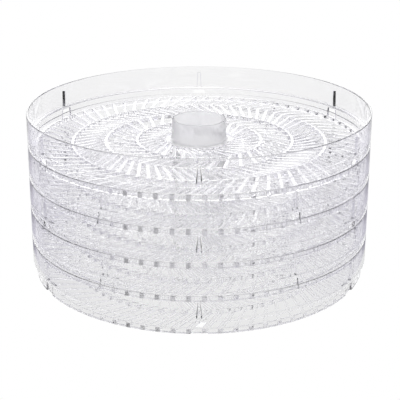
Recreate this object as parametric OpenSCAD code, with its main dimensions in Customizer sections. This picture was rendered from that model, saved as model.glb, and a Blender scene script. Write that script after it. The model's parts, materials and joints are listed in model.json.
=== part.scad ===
// Stack of five clear drying trays for a food dehydrator, in the raised drying position.
// Each tray is a wide upper wall, a shoulder, a narrower skirt and a slatted floor round a hub.
// The skirt of each tray stands on the ribs inside the tray below, which is turned by half a rib
// spacing. Turned so that the notches meet the ribs, a tray drops until its shoulder meets the rim.
// The origin is the centre of the stack's underside, with +Z up and a rib of tray 1 along -Y.

/* [Tray] */
// Outside diameter of the rim
rim_d = 290; // [280:1:320]
// Height of one tray, from its skirt's lower edge to its rim
tray_h = 32.5; // [31.5:0.5:36]
// Height of the wide upper wall, from the shoulder's underside to the rim
upper_h = 21.5; // [20:0.5:22]
// Thickness of the upper wall, the shoulder and the skirt
wall_t = 1.8; // [1.5:0.1:2]
// How far the skirt's outside stands in from the rim's outside
skirt_inset = 2.7; // [2.4:0.1:3]

/* [Ribs and notches] */
// Number of ribs round the wall, with a notch in the skirt under each
rib_count = 6; // [4:2:8]
// How far below the rim the tops of the ribs lie
rib_drop = 5.5; // [4:0.5:7]
// How far a rib stands in from the upper wall
rib_depth = 2.3; // [1.8:0.1:2.5]
// Width of a rib at its top
rib_top_w = 3; // [2:0.1:4]
// Width of a rib at its foot
rib_foot_w = 4.2; // [3:0.1:5]
// Height of a notch
notch_h = 10.2; // [8:0.1:10.4]
// Width of a notch at its top
notch_top_w = 11; // [8:0.5:13]
// Width of a notch at its open foot
notch_foot_w = 13; // [9:0.5:16]

/* [Floor] */
// Thickness of the floor
floor_t = 3.5; // [2.5:0.1:4]
// Middle radii of the three rings that part the bands of slats
ring_r = [53, 79.5, 107.5]; // [45:0.5:115]
// Width of a ring
ring_w = 3; // [2:0.1:4]
// Width of the outer ring, which joins the slats to the skirt
edge_ring_w = 3.7; // [2.5:0.1:5]
// Number of slats in each band, from the hub outwards
slat_counts = [36, 36, 72, 72]; // [24:12:72]
// Width of a slat
slat_w = 3; // [2:0.1:3.2]
// Angle between a slat and the radius, which changes side from band to band
slat_slant = 30; // [0:1:35]

/* [Hub] */
// Outside diameter of the hub at its top
hub_d = 46; // [44:0.5:48]
// Diameter of the air passage through the hub
hub_bore_d = 43; // [30:0.5:43]
// Height of the hub above the floor
hub_h = 17.8; // [10:0.1:17.9]
// How much wider the hub's radius is at the floor
hub_draft = 0.5; // [0:0.1:1]
// Radius of the fillet where the hub meets its collar
hub_fillet_r = 1.5; // [0.5:0.1:3]
// Outside diameter of the flat collar round the hub
collar_d = 58; // [56:0.5:62]

/* [Hidden] */
$fn = 180;
tray_count = 5;
overlap = 1; // how deep one shape reaches into the next where they join
rim_r = rim_d / 2;
skirt_r = rim_r - skirt_inset;
skirt_inner_r = skirt_r - wall_t;
skirt_h = tray_h - upper_h;
ledge_z = skirt_h + wall_t;
rib_top_z = tray_h - rib_drop;
tray_step = rib_top_z; // one tray's skirt stands on the ribs of the one below
half_turn = 180 / rib_count;
bore_r = hub_bore_d / 2;
collar_r = collar_d / 2;
clear_color = [0.88, 0.9, 0.92, 0.35];
frosted_color = [0.86, 0.87, 0.89, 0.8];
// Inner and outer radius of each band of slats, from the hub outwards
band_inner_r = [collar_r, ring_r[0] + ring_w / 2, ring_r[1] + ring_w / 2, ring_r[2] + ring_w / 2];
band_outer_r = [
    ring_r[0] - ring_w / 2, ring_r[1] - ring_w / 2, ring_r[2] - ring_w / 2,
    skirt_inner_r - edge_ring_w
];

PIECES = ["wall", "floor", "hub"];

// A flat ring between two radii
module annulus(inner, outer) {
    difference() {
        circle(outer);
        circle(inner);
    }
}

// A trapezium standing in the XZ plane, centred on X = 0
module trapezium(foot_w, top_w, foot_z, top_z) {
    polygon([[-foot_w / 2, foot_z], [foot_w / 2, foot_z], [top_w / 2, top_z], [-top_w / 2, top_z]]);
}

// Extrudes an XZ outline along Y, from near_r to far_r in front of the axis
module radial_block(near_r, far_r) {
    translate([0, -near_r, 0]) rotate([90, 0, 0]) linear_extrude(far_r - near_r) children();
}

// Repeats a shape at every rib
module at_each_rib() {
    for (i = [0 : rib_count - 1]) rotate(i * 360 / rib_count) children();
}

// Section of the wall: upper wall, shoulder and skirt in one line
module wall_section() {
    polygon([
        [skirt_inner_r, 0], [skirt_r, 0], [skirt_r, skirt_h], [rim_r, skirt_h],
        [rim_r, tray_h], [rim_r - wall_t, tray_h], [rim_r - wall_t, ledge_z],
        [skirt_inner_r, ledge_z]
    ]);
}

// Rib that the next tray stands on, from the ledge up
module rib() {
    rib_inner_r = rim_r - wall_t - rib_depth;
    radial_block(rib_inner_r, rim_r - wall_t / 2)
        trapezium(rib_foot_w, rib_top_w, ledge_z - wall_t / 2, rib_top_z);
}

// Opening in the skirt that lets the tray drop over the ribs of the one below
module notch() {
    foot_spread = (notch_foot_w - notch_top_w) / notch_h * overlap;
    radial_block(skirt_inner_r - wall_t, rim_r)
        trapezium(notch_foot_w + foot_spread, notch_top_w, -overlap, notch_h);
}

// Upper wall, shoulder and skirt of one tray, with its ribs and notches
module wall() {
    difference() {
        union() {
            rotate_extrude() wall_section();
            at_each_rib() rib();
        }
        at_each_rib() notch();
    }
}

// One band of slanted slats, each reaching halfway into the rings beside it
module slat_band(band) {
    inner = band_inner_r[band];
    outer = band_outer_r[band];
    middle = (inner + outer) / 2;
    side = band % 2 == 0 ? 1 : -1;
    reach = ring_w / 2;
    intersection() {
        annulus(inner - (band == 0 ? 0 : reach), outer + reach);
        for (i = [0 : slat_counts[band] - 1])
            rotate(i * 360 / slat_counts[band])
            translate([middle, 0])
            rotate(side * slat_slant)
            square([2 * (outer - inner), slat_w], center = true);
    }
}

// The floor seen from above
module floor_plan() {
    for (r = ring_r) annulus(r - ring_w / 2, r + ring_w / 2);
    annulus(skirt_inner_r - edge_ring_w, skirt_inner_r);
    for (band = [0 : len(slat_counts) - 1]) slat_band(band);
}

// Slatted floor of one tray, from the hub's collar to the skirt
module slatted_floor() {
    linear_extrude(floor_t) floor_plan();
}

// Hub tube with its collar, which fills the middle of the floor
module hub() {
    top_z = floor_t + hub_h;
    top_r = hub_d / 2;
    foot_r = top_r + hub_draft;
    rotate_extrude() {
        polygon([[bore_r, 0], [foot_r, 0], [foot_r, floor_t], [top_r, top_z], [bore_r, top_z]]);
        translate([bore_r, 0]) square([collar_r - bore_r, floor_t]);
        difference() {
            translate([bore_r, floor_t / 2])
                square([foot_r + hub_fillet_r - bore_r, floor_t / 2 + hub_fillet_r]);
            translate([foot_r + hub_fillet_r, floor_t + hub_fillet_r]) circle(hub_fillet_r);
        }
    }
}

// Puts a piece of tray n in its place, with every second tray turned by half a rib spacing
module in_stack(n) {
    translate([0, 0, (n - 1) * tray_step]) rotate((n - 1) % 2 * half_turn) children();
}

module tray_wall(n) {
    color(clear_color) in_stack(n) wall();
}

module tray_floor(n) {
    color(clear_color) in_stack(n) slatted_floor();
}

module tray_hub(n) {
    color(frosted_color) in_stack(n) hub();
}

for (n = [1 : tray_count]) {
    tray_wall(n);
    tray_floor(n);
    tray_hub(n);
}
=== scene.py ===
"""Looks of a stack of five clear drying trays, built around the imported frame.

Each tray is one clear moulding, made as one closed mesh so that no inner face refracts:
a revolved wall, less its notches, plus its ribs, plus a floor cut by slots with rounded edges.
The frosted hub of each tray is a revolved piece of its own. Lengths are in metres.
"""
import json
import math

import bmesh
import bpy
from mathutils import Matrix, Vector
from mathutils.geometry import tessellate_polygon

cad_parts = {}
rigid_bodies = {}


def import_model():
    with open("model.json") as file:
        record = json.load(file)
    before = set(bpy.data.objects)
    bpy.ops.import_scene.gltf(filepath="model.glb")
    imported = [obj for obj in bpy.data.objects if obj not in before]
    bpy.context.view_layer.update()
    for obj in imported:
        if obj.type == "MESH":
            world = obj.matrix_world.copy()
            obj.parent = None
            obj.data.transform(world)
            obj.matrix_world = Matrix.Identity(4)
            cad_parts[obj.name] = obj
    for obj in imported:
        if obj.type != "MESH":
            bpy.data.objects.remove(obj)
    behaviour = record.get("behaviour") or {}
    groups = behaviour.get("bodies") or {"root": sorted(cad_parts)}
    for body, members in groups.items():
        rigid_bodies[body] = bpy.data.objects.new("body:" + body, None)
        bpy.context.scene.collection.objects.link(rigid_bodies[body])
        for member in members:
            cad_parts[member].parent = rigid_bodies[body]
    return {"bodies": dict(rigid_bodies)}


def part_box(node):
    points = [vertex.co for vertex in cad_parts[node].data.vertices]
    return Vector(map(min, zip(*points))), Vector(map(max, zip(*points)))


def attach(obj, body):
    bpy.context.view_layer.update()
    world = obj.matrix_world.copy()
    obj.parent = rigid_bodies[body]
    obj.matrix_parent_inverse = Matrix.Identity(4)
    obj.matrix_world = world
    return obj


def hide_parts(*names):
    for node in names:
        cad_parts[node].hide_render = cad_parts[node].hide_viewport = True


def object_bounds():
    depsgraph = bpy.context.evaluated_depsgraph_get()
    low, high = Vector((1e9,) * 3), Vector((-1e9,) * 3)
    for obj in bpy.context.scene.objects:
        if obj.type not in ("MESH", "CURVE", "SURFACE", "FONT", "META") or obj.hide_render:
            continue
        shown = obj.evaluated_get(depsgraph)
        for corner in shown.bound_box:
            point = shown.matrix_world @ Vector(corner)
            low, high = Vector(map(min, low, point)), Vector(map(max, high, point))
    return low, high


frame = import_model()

MM = 0.001
cad_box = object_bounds()
TRAYS = sorted(frame["bodies"])

# Places that come from the frame
wall_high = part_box("tray_1_wall")[1]
floor_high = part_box("tray_1_floor")[1]
hub_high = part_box("tray_1_hub")[1]
RIM_R = wall_high.x
TRAY_H = wall_high.z
FLOOR_T = floor_high.z
HUB_TOP = hub_high.z
COLLAR_R = hub_high.x
STACK_H = cad_box[1].z

# Sections that the frame's boxes don't tell
WALL_T = 1.8 * MM
SKIRT_R = RIM_R - 2.7 * MM
SKIRT_INNER_R = SKIRT_R - WALL_T
SKIRT_H = 11 * MM
LEDGE_Z = SKIRT_H + WALL_T
RIB_COUNT = 6
RIB_TOP_Z = 26.97 * MM  # a hair under the skirt that rests on it
RIB_INNER_R = RIM_R - WALL_T - 2.3 * MM
RIB_TOP_W = 3 * MM
RIB_FOOT_W = 4.2 * MM
RIB_SLOPE = 1.4 * MM  # how far each side of a rib leans in over its depth
NOTCH_H = 10.2 * MM
NOTCH_TOP_W = 11 * MM
NOTCH_FOOT_W = 13 * MM
HUB_R = 23 * MM
HUB_FOOT_R = 23.5 * MM
BORE_R = 21.5 * MM

# Floor: middle radii of the rings, and the slats between them
RING_R = [53 * MM, 79.5 * MM, 107.5 * MM]
RING_W = 3 * MM
EDGE_RING_W = 3.7 * MM
SLAT_COUNTS = [36, 36, 72, 72]
SLAT_W = 3 * MM
SLAT_SLANT = math.radians(30)
SLAT_TOP_ROUND = 0.6 * MM
SLAT_FOOT_ROUND = 0.35 * MM
SLOT_CORNER = 0.5 * MM
SECTORS = 36  # the floor repeats this many times round the hub

# Light that the plastic refracts and reflects; the camera itself sees the stage as white
DOME = [  # (sine of the height above the horizon, grey)
    (0.0, 0.5), (0.12, 0.75), (0.2, 0.95), (0.37, 0.95), (0.46, 0.15), (0.62, 0.15), (0.8, 0.4),
    (1.0, 0.6)
]
DOME_LIGHT = 2.1
TABLE_LIGHT = 0.92
PAINTED_SHADOW_LIGHT = 0.82  # strength of the table within the radius below: a painted shadow of the stack, dimmer than the table round it
PAINTED_SHADOW_R = RIM_R * 1.1
BESIDE = (0.61, 0.595, 0.68)  # colour of what comes from the left and right

# Camera: distance in front of the axis, height above the stack, degrees it looks down
CAMERA_AWAY = 0.8442
CAMERA_ABOVE = 0.2328
CAMERA_DOWN = 17.907

# Fineness of the meshes
WELD = 0.001 * MM
SHARP = math.radians(32)  # edges sharper than this stay creases
RIM_SEGMENTS = 240
HUB_SEGMENTS = 128
SECTOR_RIM_STEPS = 8
SECTOR_COLLAR_STEPS = 4


# ---------------------------------------------------------------- outlines

def rounded(corners, steps=4):
    """A closed outline from (x, y, radius) corners, each turned into an arc of its radius."""
    outline = []
    count = len(corners)
    for i, (x, y, radius) in enumerate(corners):
        here = Vector((x, y))
        if radius == 0:
            outline.append(here)
            continue
        before = (Vector(corners[i - 1][:2]) - here).normalized()
        after = (Vector(corners[(i + 1) % count][:2]) - here).normalized()
        half = before.angle(after) / 2
        centre = here + (before + after).normalized() * (radius / math.sin(half))
        start = here + before * (radius / math.tan(half)) - centre
        turn = start.angle_signed(here + after * (radius / math.tan(half)) - centre)
        for k in range(steps + 1):
            spoke = start.copy()
            spoke.rotate(Matrix.Rotation(-turn * k / steps, 2))
            outline.append(centre + spoke)
    return outline


def grown(outline, distance):
    """The closed outline, counterclockwise, with every point moved outwards by a distance."""
    moved = []
    for i, here in enumerate(outline):
        before = (here - outline[i - 1]).normalized()
        after = (outline[(i + 1) % len(outline)] - here).normalized()
        out_a = Vector((before.y, -before.x))
        out_b = Vector((after.y, -after.x))
        middle = (out_a + out_b).normalized()
        moved.append(here + middle * (distance / max(middle.dot(out_a), 0.5)))
    return moved


def on_circle(radius, angle):
    return Vector((radius * math.cos(angle), radius * math.sin(angle)))


# ---------------------------------------------------------------- mesh helpers

def new_object(name, bm):
    mesh = bpy.data.meshes.new(name)
    bm.normal_update()
    bm.to_mesh(mesh)
    bm.free()
    obj = bpy.data.objects.new(name, mesh)
    bpy.context.scene.collection.objects.link(obj)
    return obj


def revolved(name, section, segments):
    """A closed ring swept round Z from a closed (radius, height) section, counterclockwise."""
    bm = bmesh.new()
    rings = []
    for s in range(segments):
        angle = 2 * math.pi * s / segments
        rings.append([bm.verts.new((*on_circle(p.x, angle), p.y)) for p in section])
    for s, ring in enumerate(rings):
        following = rings[(s + 1) % segments]
        for i in range(len(section)):
            j = (i + 1) % len(section)
            bm.faces.new((ring[i], following[i], following[j], ring[j]))
    bmesh.ops.recalc_face_normals(bm, faces=bm.faces)
    return new_object(name, bm)


def repeat_round(bm, count):
    """Turns copies of all that is in the mesh round Z."""
    first = bm.verts[:] + bm.edges[:] + bm.faces[:]
    for k in range(1, count):
        copy = bmesh.ops.duplicate(bm, geom=first)["geom"]
        turn = Matrix.Rotation(2 * math.pi * k / count, 3, "Z")
        verts = [g for g in copy if isinstance(g, bmesh.types.BMVert)]
        bmesh.ops.rotate(bm, verts=verts, cent=(0, 0, 0), matrix=turn)


def radial_blocks(name, near, near_r, far, far_r, edge_round=0.0):
    """Solids between an XZ outline near the axis and one further out, at every rib from -Y on."""
    bm = bmesh.new()
    near = [bm.verts.new((p.x, -near_r, p.y)) for p in near]
    far = [bm.verts.new((p.x, -far_r, p.y)) for p in far]
    bm.faces.new(near)
    bm.faces.new(list(reversed(far)))
    for i in range(len(near)):
        j = (i + 1) % len(near)
        bm.faces.new((near[j], near[i], far[i], far[j]))
    bmesh.ops.recalc_face_normals(bm, faces=bm.faces)
    if edge_round:
        front = [e for e in bm.edges if all(v in near for v in e.verts)]
        bmesh.ops.bevel(bm, geom=front, offset=edge_round, segments=3, profile=0.5,
                        affect="EDGES", clamp_overlap=True)
    repeat_round(bm, RIB_COUNT)
    return new_object(name, bm)


def combine(target, other, operation):
    """Applies a Boolean of two closed meshes to the first, and removes the second."""
    modifier = target.modifiers.new(operation, "BOOLEAN")
    modifier.operation = operation
    modifier.solver = "MANIFOLD"
    modifier.object = other
    graph = bpy.context.evaluated_depsgraph_get()
    mesh = bpy.data.meshes.new_from_object(target.evaluated_get(graph))
    target.modifiers.clear()
    target.data = mesh
    bpy.data.objects.remove(other)


def finish_mesh(mesh):
    """Clears slivers and shades the mesh smooth up to its real edges."""
    bm = bmesh.new()
    bm.from_mesh(mesh)
    bmesh.ops.remove_doubles(bm, verts=bm.verts, dist=WELD)
    bmesh.ops.dissolve_degenerate(bm, edges=bm.edges, dist=WELD)
    for face in bm.faces:
        face.smooth = True
    bm.to_mesh(mesh)
    bm.free()
    mesh.set_sharp_from_angle(angle=SHARP)


# ---------------------------------------------------------------- the clear moulding

def wall_ring():
    """Upper wall, shoulder and skirt, before the ribs and notches."""
    section = rounded([
        (SKIRT_INNER_R, 0, 0),
        (SKIRT_R, 0, 0.4 * MM),
        (SKIRT_R, SKIRT_H, 0.4 * MM),
        (RIM_R, SKIRT_H, 0.6 * MM),
        (RIM_R, TRAY_H, 0.85 * MM),
        (RIM_R - WALL_T, TRAY_H, 0.85 * MM),
        (RIM_R - WALL_T, LEDGE_Z, 0.6 * MM),
        (SKIRT_INNER_R, LEDGE_Z, 0.6 * MM),
    ])
    return revolved("wall_ring", section, RIM_SEGMENTS)


def notch_cutters():
    """Blocks that cut the notches out of the skirt."""
    below = -MM
    spread = (NOTCH_FOOT_W - NOTCH_TOP_W) / NOTCH_H * MM
    outline = rounded([
        (-(NOTCH_FOOT_W + spread) / 2, below, 0),
        ((NOTCH_FOOT_W + spread) / 2, below, 0),
        (NOTCH_TOP_W / 2, NOTCH_H, MM),
        (-NOTCH_TOP_W / 2, NOTCH_H, MM),
    ])
    return radial_blocks("notch_cutters", outline, SKIRT_INNER_R - WALL_T, outline, RIM_R + MM)


def soften_notches(obj, width=0.25 * MM):
    """Rounds the edges where the notches cut the skirt."""
    bm = bmesh.new()
    bm.from_mesh(obj.data)
    sharp = math.radians(40)
    edges = [
        e for e in bm.edges
        if e.is_manifold and e.calc_face_angle(0) > sharp
        and all(v.co.z < SKIRT_H - 0.3 * MM for v in e.verts)
        and all(v.co.xy.length > SKIRT_INNER_R - MM for v in e.verts)
        and max(v.co.z for v in e.verts) > 0.01 * MM
    ]
    bmesh.ops.bevel(bm, geom=edges, offset=width, segments=2, profile=0.5,
                    affect="EDGES", clamp_overlap=True)
    bm.to_mesh(obj.data)
    bm.free()


def rib_outline(narrower):
    """A rib seen along the radius: a flared foot on the ledge and a rounded top."""
    foot_z = LEDGE_Z - WALL_T / 2
    seat_z = LEDGE_Z + 0.05 * MM
    foot = RIB_FOOT_W / 2 - narrower
    top = RIB_TOP_W / 2 - narrower
    flare = foot + 1.2 * MM
    return rounded([
        (-flare, foot_z, 0),
        (flare, foot_z, 0),
        (flare, seat_z, 0),
        (foot, seat_z, 1.1 * MM),
        (top, RIB_TOP_Z, 0.6 * MM),
        (-top, RIB_TOP_Z, 0.6 * MM),
        (-foot, seat_z, 1.1 * MM),
        (-flare, seat_z, 0),
    ])


def ribs():
    """Ribs that the next tray stands on, with sides that slope in from the wall."""
    return radial_blocks("ribs", rib_outline(RIB_SLOPE / 2), RIB_INNER_R,
                         rib_outline(-RIB_SLOPE / 2), RIM_R - WALL_T / 2, edge_round=0.25 * MM)


def band_limits():
    """(inner, outer) radius of the slots in each band."""
    inner = [COLLAR_R + SLAT_TOP_ROUND + 0.1 * MM] + [r + RING_W / 2 for r in RING_R]
    outer = [r - RING_W / 2 for r in RING_R] + [SKIRT_INNER_R - EDGE_RING_W]
    return list(zip(inner, outer))


def slat_line(band, offset):
    """(point, direction) of a line beside slat 0 of a band, at an offset from its middle."""
    inner, outer = band_limits()[band]
    slant = SLAT_SLANT if band % 2 == 0 else -SLAT_SLANT
    along = Vector((math.cos(slant), math.sin(slant)))
    across = Vector((-along.y, along.x))
    return Vector(((inner + outer) / 2, 0)) + across * offset, along


def meets_circle(line, radius):
    """Polar angle at which an outward line crosses a circle round the axis."""
    point, along = line
    b = point.dot(along)
    hit = point + along * (-b + math.sqrt(b * b - point.dot(point) + radius * radius))
    return math.atan2(hit.y, hit.x)


def slot_outline(band, index):
    """The gap between two slats of a band, counterclockwise, with rounded corners."""
    inner, outer = band_limits()[band]
    pitch = 2 * math.pi / SLAT_COUNTS[band]
    right = slat_line(band, SLAT_W / 2)
    left = slat_line(band, -SLAT_W / 2)
    starts = [
        (inner, meets_circle(right, inner)),
        (outer, meets_circle(right, outer)),
        (outer, meets_circle(left, outer) + pitch),
        (inner, meets_circle(left, inner) + pitch),
    ]
    corners = [on_circle(r, a + index * pitch) for r, a in starts]
    arcs = {
        1: (outer, starts[1][1], starts[2][1], (0.25, 0.5, 0.75)),
        3: (inner, starts[3][1], starts[0][1], (0.5,)),
    }
    path = []
    for i, corner in enumerate(corners):
        before = corners[i - 1] - corner
        after = corners[(i + 1) % 4] - corner
        cut = min(SLOT_CORNER, before.length * 0.4, after.length * 0.4)
        first = corner + before.normalized() * cut
        last = corner + after.normalized() * cut
        for t in (0, 0.33, 0.67, 1):
            path.append(first * (1 - t) ** 2 + corner * (2 * t * (1 - t)) + last * t ** 2)
        if i in arcs:
            radius, a, b, stops = arcs[i]
            for t in stops:
                path.append(on_circle(radius, a + (b - a) * t + index * pitch))
    return path


def sector_edge():
    """One side of a floor sector, from the hub to the skirt, along slats and rings."""
    path = []
    rings = [COLLAR_R] + RING_R + [SKIRT_INNER_R + 0.1 * MM]
    for band in range(len(SLAT_COUNTS)):
        line = slat_line(band, 0)
        path.append((rings[band], meets_circle(line, rings[band])))
        path.append((rings[band + 1], meets_circle(line, rings[band + 1])))
    return path


def sector_outline():
    """A floor sector, counterclockwise. Its two sides are the same line, one sector apart."""
    step = 2 * math.pi / SECTORS
    side = [on_circle(r, a) for r, a in sector_edge()]
    other = [on_circle(r, a + step) for r, a in sector_edge()]
    outer_r, outer_a = sector_edge()[-1]
    inner_r, inner_a = sector_edge()[0]
    rim = [on_circle(outer_r, outer_a + step * t / SECTOR_RIM_STEPS)
           for t in range(1, SECTOR_RIM_STEPS)]
    collar = [on_circle(inner_r, inner_a + step * t / SECTOR_COLLAR_STEPS)
              for t in range(SECTOR_COLLAR_STEPS - 1, 0, -1)]
    return side + rim + list(reversed(other)) + collar


def edge_levels():
    """(distance from the slot's face, height) of the lines round a slot, from top to underside."""
    top_steps, foot_steps = 4, 2
    levels = []
    for k in range(top_steps + 1):
        a = math.pi / 2 * k / top_steps
        levels.append((SLAT_TOP_ROUND * (1 - math.sin(a)),
                       FLOOR_T - SLAT_TOP_ROUND * (1 - math.cos(a))))
    for k in range(foot_steps, -1, -1):
        a = math.pi / 2 * k / foot_steps
        levels.append((SLAT_FOOT_ROUND * (1 - math.sin(a)), SLAT_FOOT_ROUND * (1 - math.cos(a))))
    return levels


def floor_disc():
    """The slatted floor as one closed mesh, one sector turned round the hub."""
    bm = bmesh.new()
    levels = edge_levels()
    slots = []
    for band, count in enumerate(SLAT_COUNTS):
        slots += [slot_outline(band, i) for i in range(count // SECTORS)]
    outline = sector_outline()
    for level, flip in ((levels[0], False), (levels[-1], True)):
        holes = [grown(slot, level[0]) for slot in slots]
        loops = [[Vector((p.x, p.y, 0)) for p in loop] for loop in [outline] + holes]
        verts = [bm.verts.new((p.x, p.y, level[1])) for loop in loops for p in loop]
        for a, b, c in tessellate_polygon(loops):
            face = bm.faces.new((verts[a], verts[b], verts[c]))
            face.normal_update()
            if (face.normal.z < 0) != flip:
                face.normal_flip()
    for slot in slots:
        rows = [[bm.verts.new((p.x, p.y, z)) for p in grown(slot, d)] for d, z in levels]
        for upper, lower in zip(rows, rows[1:]):
            for i in range(len(slot)):
                j = (i + 1) % len(slot)
                bm.faces.new((upper[i], upper[j], lower[j], lower[i]))
    rim_start = len(sector_edge()) - 1
    sides = [outline[rim_start:rim_start + SECTOR_RIM_STEPS + 1],
             outline[-SECTOR_COLLAR_STEPS:] + outline[:1]]
    for line in sides:
        top = [bm.verts.new((p.x, p.y, FLOOR_T)) for p in line]
        foot = [bm.verts.new((p.x, p.y, 0)) for p in line]
        for i in range(len(line) - 1):
            bm.faces.new((top[i], foot[i], foot[i + 1], top[i + 1]))
    repeat_round(bm, SECTORS)
    bmesh.ops.remove_doubles(bm, verts=bm.verts, dist=0.002 * MM)
    bmesh.ops.recalc_face_normals(bm, faces=bm.faces)
    return new_object("floor_disc", bm)


def clear_mesh():
    """Wall, ribs and floor of one tray as one closed mesh."""
    body = wall_ring()
    combine(body, notch_cutters(), "DIFFERENCE")
    soften_notches(body)
    combine(body, ribs(), "UNION")
    combine(body, floor_disc(), "UNION")
    finish_mesh(body.data)
    mesh = body.data
    bpy.data.objects.remove(body)
    return mesh


# ---------------------------------------------------------------- the frosted hub

def hub_mesh():
    """Tube and collar, a hair clear of the floor round them."""
    collar_r = COLLAR_R - 0.03 * MM
    section = rounded([
        (BORE_R, 0, 0.4 * MM),
        (collar_r, 0, 0.2 * MM),
        (collar_r, FLOOR_T, 0.4 * MM),
        (HUB_FOOT_R, FLOOR_T, 1.5 * MM),
        (HUB_R, HUB_TOP, 0.55 * MM),
        (BORE_R, HUB_TOP, 0.55 * MM),
    ], steps=6)
    obj = revolved("hub", section, HUB_SEGMENTS)
    mesh = obj.data
    bpy.data.objects.remove(obj)
    finish_mesh(mesh)
    return mesh


# ---------------------------------------------------------------- materials

def shader(name):
    material = bpy.data.materials.new(name)
    material.use_nodes = True
    nodes = material.node_tree.nodes
    return material, nodes, material.node_tree.links, nodes["Principled BSDF"]


def math_node(nodes, links, operation, *values):
    node = nodes.new("ShaderNodeMath")
    node.operation = operation
    for socket, value in zip(node.inputs, values):
        if isinstance(value, (int, float)):
            socket.default_value = value
        else:
            links.new(value, socket)
    return node.outputs["Value"]


def from_axis(nodes, links):
    """Distance from the Z axis of the object."""
    place = nodes.new("ShaderNodeTexCoord")
    flat = nodes.new("ShaderNodeVectorMath")
    flat.operation = "MULTIPLY"
    flat.inputs[1].default_value = (1, 1, 0)
    links.new(place.outputs["Object"], flat.inputs[0])
    away = nodes.new("ShaderNodeVectorMath")
    away.operation = "LENGTH"
    links.new(flat.outputs["Vector"], away.inputs[0])
    return away.outputs["Value"]


def noise(nodes, links, scale, detail):
    """Noise in the piece's own coordinates, so that it moves with the piece."""
    place = nodes.new("ShaderNodeTexCoord")
    texture = nodes.new("ShaderNodeTexNoise")
    texture.inputs["Scale"].default_value = scale
    texture.inputs["Detail"].default_value = detail
    links.new(place.outputs["Object"], texture.inputs["Vector"])
    return texture.outputs["Fac"]


def spread(nodes, links, value, low, high):
    """A value from low to high that follows a noise."""
    scale = nodes.new("ShaderNodeMapRange")
    scale.inputs["From Min"].default_value = 0.3
    scale.inputs["From Max"].default_value = 0.7
    scale.inputs["To Min"].default_value = low
    scale.inputs["To Max"].default_value = high
    links.new(value, scale.inputs["Value"])
    return scale.outputs["Result"]


def ripple(nodes, links, bsdf, value, strength, depth):
    """Bump that follows a noise."""
    bump = nodes.new("ShaderNodeBump")
    bump.inputs["Strength"].default_value = strength
    bump.inputs["Distance"].default_value = depth
    links.new(value, bump.inputs["Height"])
    links.new(bump.outputs["Normal"], bsdf.inputs["Normal"])


def tinted(nodes, links, value, pale, deep):
    """A colour from pale to deep that follows a noise."""
    ramp = nodes.new("ShaderNodeValToRGB")
    ramp.color_ramp.elements[0].position = 0.3
    ramp.color_ramp.elements[0].color = (*pale, 1)
    ramp.color_ramp.elements[1].position = 0.7
    ramp.color_ramp.elements[1].color = (*deep, 1)
    links.new(value, ramp.inputs["Fac"])
    return ramp.outputs["Color"]


def clear_plastic():
    """Clear moulded styrene: polished, faintly uneven, and a little grey through its depth."""
    material, nodes, links, bsdf = shader("clear_plastic")
    bsdf.inputs["Transmission Weight"].default_value = 1
    bsdf.inputs["IOR"].default_value = 1.5
    slow = noise(nodes, links, scale=18, detail=2)
    links.new(tinted(nodes, links, slow, (1, 1, 1), (0.995, 0.995, 0.998)),
              bsdf.inputs["Base Color"])
    links.new(spread(nodes, links, slow, 0.0, 0.02), bsdf.inputs["Roughness"])
    ripple(nodes, links, bsdf, noise(nodes, links, scale=90, detail=1), 0.04, 0.2 * MM)
    depth = nodes.new("ShaderNodeVolumeAbsorption")
    depth.inputs["Color"].default_value = (0.75, 0.745, 0.77, 1)
    depth.inputs["Density"].default_value = 6
    links.new(depth.outputs["Volume"], nodes["Material Output"].inputs["Volume"])
    return material


def frosted_plastic():
    """The same plastic with a sandblasted tube and a polished collar."""
    material, nodes, links, bsdf = shader("frosted_plastic")
    bsdf.inputs["Transmission Weight"].default_value = 1
    bsdf.inputs["IOR"].default_value = 1.15
    fine = noise(nodes, links, scale=900, detail=4)
    links.new(tinted(nodes, links, fine, (1, 1, 1), (0.992, 0.992, 0.996)),
              bsdf.inputs["Base Color"])
    on_tube = math_node(nodes, links, "LESS_THAN", from_axis(nodes, links),
                        HUB_FOOT_R + 1.2 * MM)
    rough = spread(nodes, links, fine, 0.5, 0.6)
    links.new(math_node(nodes, links, "MULTIPLY", rough, on_tube), bsdf.inputs["Roughness"])
    ripple(nodes, links, bsdf, fine, 0.1, 0.05 * MM)
    return material


# ---------------------------------------------------------------- trays

def add_piece(name, mesh, body, replaced, material):
    """A visible piece at its tray's height, which takes the place of CAD nodes."""
    piece = bpy.data.objects.new(name, mesh)
    bpy.context.scene.collection.objects.link(piece)
    piece.location.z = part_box(f"{body}_wall")[0].z
    smooth = piece.modifiers.new("weighted_normals", "WEIGHTED_NORMAL")
    smooth.keep_sharp = True
    mesh.materials.clear()
    mesh.materials.append(material)
    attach(piece, body)
    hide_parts(*replaced)
    return piece


def add_trays():
    """Five trays from two meshes, with every second one turned by half a rib spacing."""
    clear, hub = clear_mesh(), hub_mesh()
    turned = clear.copy()
    turned.transform(Matrix.Rotation(math.pi / RIB_COUNT, 4, "Z"))
    clear_look, frosted_look = clear_plastic(), frosted_plastic()
    for n, body in enumerate(TRAYS):
        add_piece(f"{body}_clear", turned if n % 2 else clear, body,
                  [f"{body}_wall", f"{body}_floor"], clear_look)
        add_piece(f"{body}_frosted_hub", hub, body, [f"{body}_hub"],
                  frosted_look)


# ---------------------------------------------------------------- stage, light and camera

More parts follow.
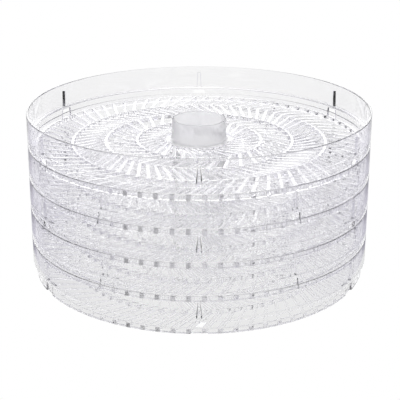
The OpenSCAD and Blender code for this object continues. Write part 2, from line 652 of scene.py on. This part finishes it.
def studio_colour(nodes, links, place):
    """A white light in front of and behind the object, and a dimmer lavender one beside it."""
    split = nodes.new("ShaderNodeSeparateXYZ")
    links.new(place, split.inputs["Vector"])
    x2 = math_node(nodes, links, "MULTIPLY", split.outputs["X"], split.outputs["X"])
    y2 = math_node(nodes, links, "MULTIPLY", split.outputs["Y"], split.outputs["Y"])
    share = math_node(nodes, links, "DIVIDE", x2, math_node(nodes, links, "ADD", x2, y2))
    ramp = nodes.new("ShaderNodeValToRGB")
    ramp.color_ramp.interpolation = "EASE"
    ramp.color_ramp.elements[0].position = 0.2
    ramp.color_ramp.elements[0].color = (1, 1, 1, 1)
    ramp.color_ramp.elements[1].position = 0.65
    ramp.color_ramp.elements[1].color = (*BESIDE, 1)
    links.new(share, ramp.inputs["Fac"])
    return ramp.outputs["Color"]


def pick(nodes, links, factor, first, second):
    """The first shader where the factor is 0, and the second where it is 1."""
    mix = nodes.new("ShaderNodeMixShader")
    links.new(factor, mix.inputs["Fac"])
    links.new(first, mix.inputs[1])
    links.new(second, mix.inputs[2])
    return mix.outputs["Shader"]


def add_floor():
    """A white light table that fills every view, with a painted shadow under the stack."""
    bm = bmesh.new()
    bmesh.ops.create_grid(bm, x_segments=1, y_segments=1, size=30)
    floor = new_object("stage_floor", bm)
    floor.location.z = -0.2 * MM
    material = bpy.data.materials.new("stage_white")
    material.use_nodes = True
    nodes, links = material.node_tree.nodes, material.node_tree.links
    place = nodes.new("ShaderNodeTexCoord")
    # Painted shadow: near the axis the table glows dimmer, as if the stack shaded it.
    in_painted_shadow = math_node(nodes, links, "LESS_THAN", from_axis(nodes, links), PAINTED_SHADOW_R)
    white = nodes.new("ShaderNodeEmission")
    below = nodes.new("ShaderNodeEmission")
    below.inputs["Strength"].default_value = PAINTED_SHADOW_LIGHT
    table = nodes.new("ShaderNodeEmission")
    table.inputs["Strength"].default_value = TABLE_LIGHT
    links.new(studio_colour(nodes, links, place.outputs["Object"]), table.inputs["Color"])
    seen = nodes.new("ShaderNodeLightPath").outputs["Is Camera Ray"]
    lit = pick(nodes, links, in_painted_shadow, table.outputs["Emission"], below.outputs["Emission"])
    links.new(pick(nodes, links, seen, lit, white.outputs["Emission"]),
              nodes["Material Output"].inputs["Surface"])
    floor.data.materials.append(material)


def add_world():
    """White behind the object, and for light a dome of greys."""
    world = bpy.data.worlds.new("studio")
    bpy.context.scene.world = world
    world.use_nodes = True
    nodes, links = world.node_tree.nodes, world.node_tree.links
    place = nodes.new("ShaderNodeTexCoord")
    split = nodes.new("ShaderNodeSeparateXYZ")
    ramp = nodes.new("ShaderNodeValToRGB")
    while len(ramp.color_ramp.elements) < len(DOME):
        ramp.color_ramp.elements.new(0.5)
    for element, (position, grey) in zip(ramp.color_ramp.elements, DOME):
        element.position = position
        element.color = (grey, grey, grey, 1)
    links.new(place.outputs["Generated"], split.inputs["Vector"])
    links.new(split.outputs["Z"], ramp.inputs["Fac"])
    dome = nodes["Background"]
    links.new(studio_colour(nodes, links, place.outputs["Generated"]), dome.inputs["Color"])
    links.new(math_node(nodes, links, "MULTIPLY", ramp.outputs["Color"], DOME_LIGHT),
              dome.inputs["Strength"])
    white = nodes.new("ShaderNodeBackground")
    white.inputs["Color"].default_value = (1, 1, 1, 1)
    seen = nodes.new("ShaderNodeLightPath").outputs["Is Camera Ray"]
    links.new(pick(nodes, links, seen, dome.outputs["Background"], white.outputs["Background"]),
              nodes["World Output"].inputs["Surface"])


def add_camera():
    data = bpy.data.cameras.new("camera")
    data.sensor_width = 36
    data.lens = 92.91
    data.shift_x = 0.0022
    data.shift_y = -0.124
    data.clip_start = 0.01
    camera = bpy.data.objects.new("camera", data)
    bpy.context.scene.collection.objects.link(camera)
    camera.location = (0, -CAMERA_AWAY, STACK_H + CAMERA_ABOVE)
    camera.rotation_euler = (math.radians(90 - CAMERA_DOWN), 0, 0)
    bpy.context.scene.camera = camera


def set_render():
    scene = bpy.context.scene
    scene.view_settings.view_transform = "Standard"
    scene.cycles.max_bounces = 64
    scene.cycles.transmission_bounces = 64
    scene.cycles.transparent_max_bounces = 16
    scene.cycles.glossy_bounces = 20
    scene.cycles.diffuse_bounces = 12
    scene.cycles.use_denoising = True


add_camera()
add_world()
add_floor()
add_trays()
set_render()
